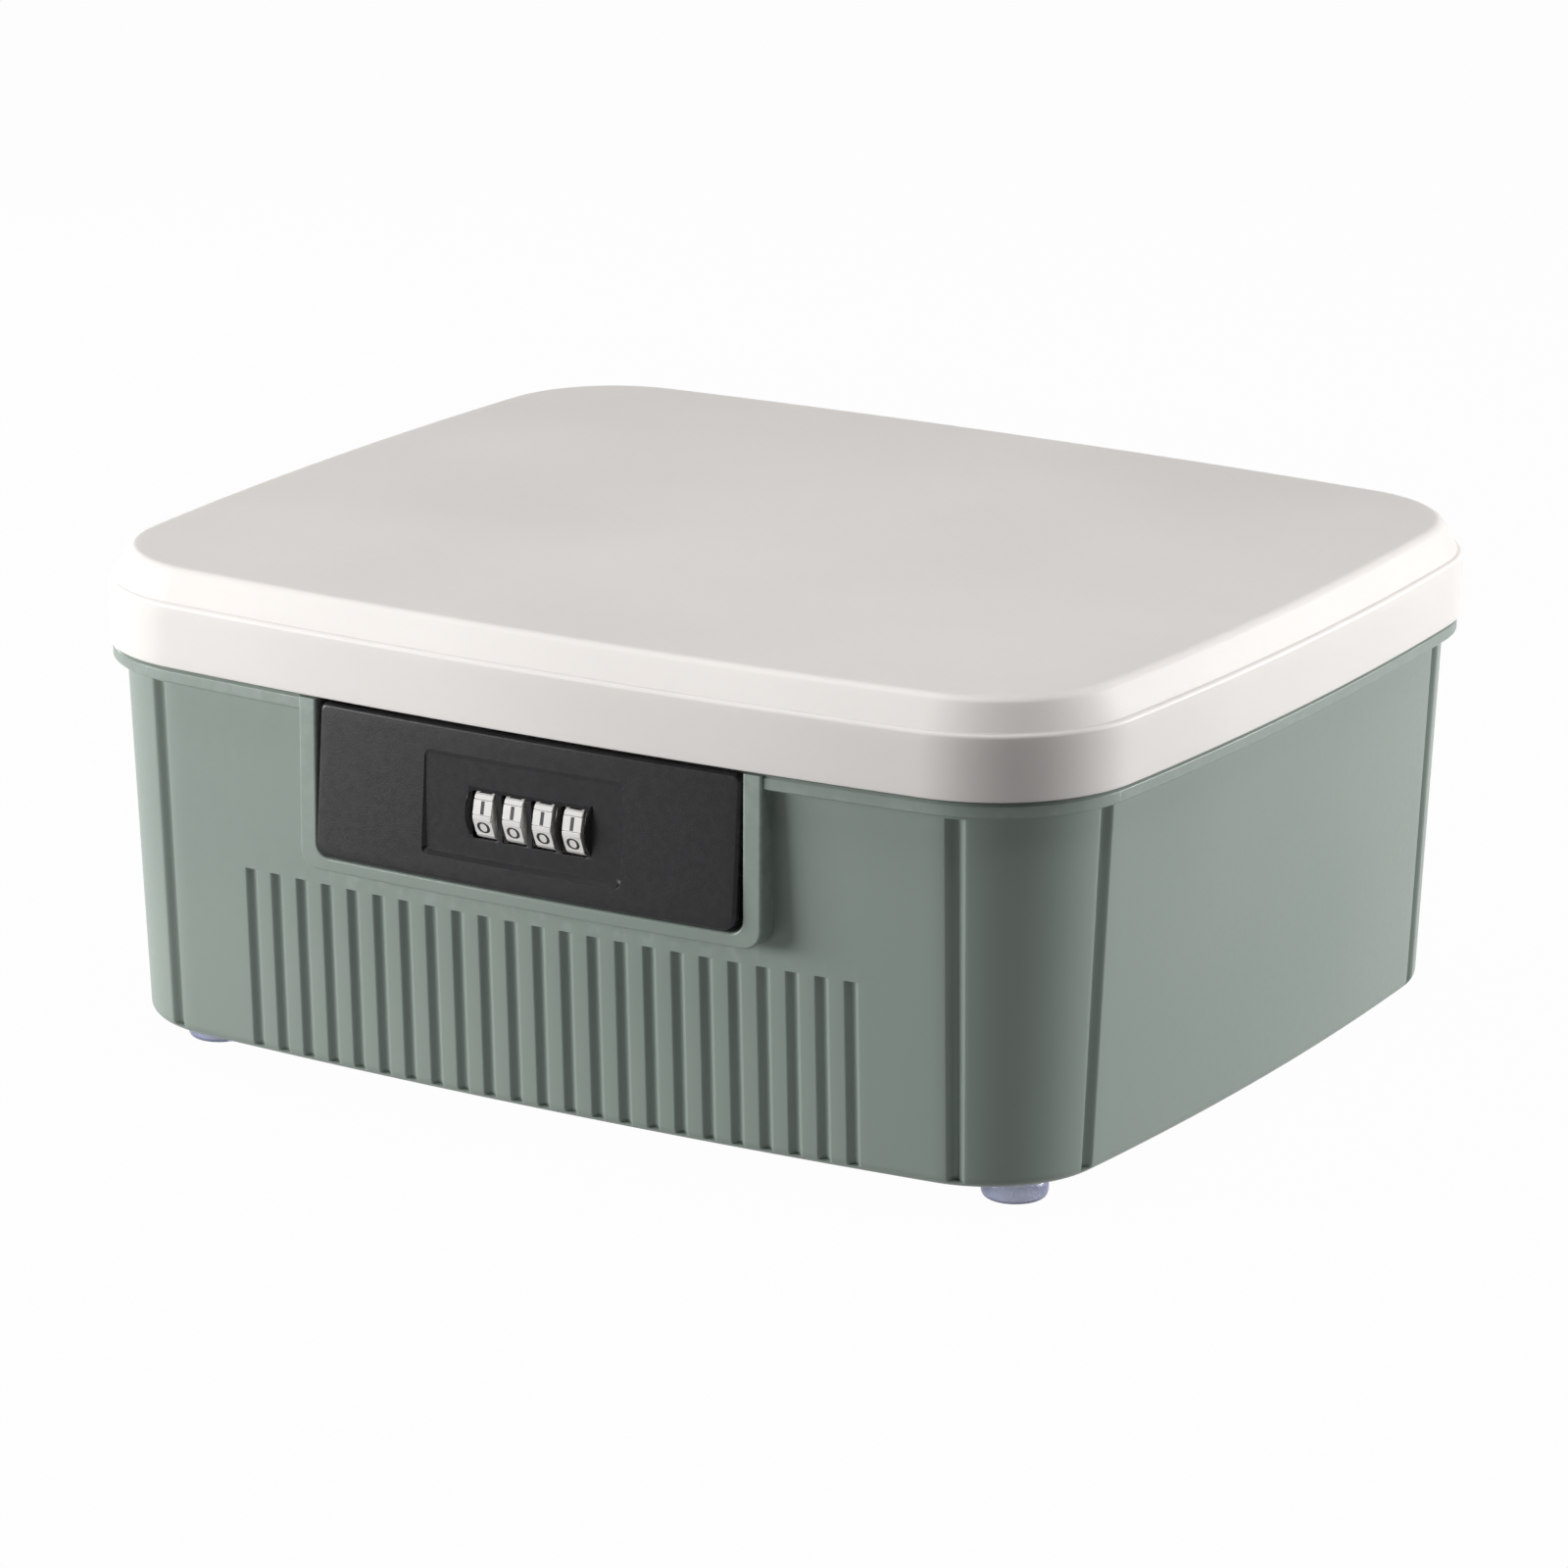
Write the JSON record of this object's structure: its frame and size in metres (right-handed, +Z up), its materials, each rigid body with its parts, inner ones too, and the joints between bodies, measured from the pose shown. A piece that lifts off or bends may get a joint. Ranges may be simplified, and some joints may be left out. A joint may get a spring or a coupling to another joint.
{
  "type": "lockable medicine storage box",
  "caption": "Medicine lock box: ribbed drafted tub, hinged stepped lid, and a lock flap with a dial combination latch in a front pocket.",
  "frame": {"origin": "bottom centre of the whole box, on the surface that its four feet stand on", "axes": "+X to the right along the front, +Y towards the hinged rear, +Z up; the lock flap faces -Y"},
  "size_m": [0.3, 0.2608, 0.1326],
  "materials": {
    "green_plastic": "satin moulded grey-green",
    "white_plastic": "satin moulded off-white",
    "black_plastic": "fine-grained satin black",
    "dial_plastic": "glossy white with plain black figures",
    "foot_rubber": "clear bluish soft rubber",
    "steel": "plain bright steel",
    "brass": "plain turned or pressed brass"
  },
  "bodies": {
    "tub_body": {"tub": "green_plastic", "foot_1": "foot_rubber", "foot_2": "foot_rubber", "foot_3": "foot_rubber", "foot_4": "foot_rubber", "keeper_plate": "steel", "keeper_screw_left": "steel", "keeper_screw_right": "steel"},
    "lid_body": {"lid": "white_plastic", "lid_hinge_pin_left": "steel", "lid_hinge_pin_right": "steel"},
    "lock_flap": {"flap_cover": "black_plastic", "flap_back_plate": "black_plastic", "flap_hinge_pin_left": "steel", "flap_hinge_pin_right": "steel", "back_plate_screw_1": "steel", "back_plate_screw_2": "steel", "back_plate_screw_3": "steel", "back_plate_screw_4": "steel", "dial_axle": "steel", "dial_detent_spring": "brass", "latch_spring": "steel"},
    "latch": {"latch_slide": "steel"},
    "dial_1": {"dial_wheel_1": "dial_plastic", "dial_gate_sleeve_1": "brass"},
    "dial_2": {"dial_wheel_2": "dial_plastic", "dial_gate_sleeve_2": "brass"},
    "dial_3": {"dial_wheel_3": "dial_plastic", "dial_gate_sleeve_3": "brass"},
    "dial_4": {"dial_wheel_4": "dial_plastic", "dial_gate_sleeve_4": "brass"}
  },
  "joints": [
    {"name": "lid_hinge", "type": "hinge", "parent": "tub_body", "child": "lid_body", "pos_m": [0, 0.12695, 0.1054], "axis": [-1, 0, 0], "range_deg": [0, 105]},
    {"name": "flap_hinge", "type": "hinge", "parent": "lid_body", "child": "lock_flap", "pos_m": [0, -0.12105, 0.101], "axis": [-1, 0, 0], "range_deg": [0, 85]},
    {"name": "latch_travel", "type": "slide", "parent": "lock_flap", "child": "latch", "axis": [1, 0, 0], "range_m": [0, 0.0019], "stiffness_N_per_m": 200, "springref_m": -0.002, "deforming": ["latch_spring"]},
    {"name": "dial_1_turn", "type": "hinge", "parent": "lock_flap", "child": "dial_1", "pos_m": [-0.01085, -0.12142, 0.0861], "axis": [1, 0, 0], "continuous": true},
    {"name": "dial_2_turn", "type": "hinge", "parent": "lock_flap", "child": "dial_2", "pos_m": [-0.00215, -0.12142, 0.0861], "axis": [1, 0, 0], "continuous": true},
    {"name": "dial_3_turn", "type": "hinge", "parent": "lock_flap", "child": "dial_3", "pos_m": [0.00655, -0.12142, 0.0861], "axis": [1, 0, 0], "continuous": true},
    {"name": "dial_4_turn", "type": "hinge", "parent": "lock_flap", "child": "dial_4", "pos_m": [0.01525, -0.12142, 0.0861], "axis": [1, 0, 0], "continuous": true}
  ]
}
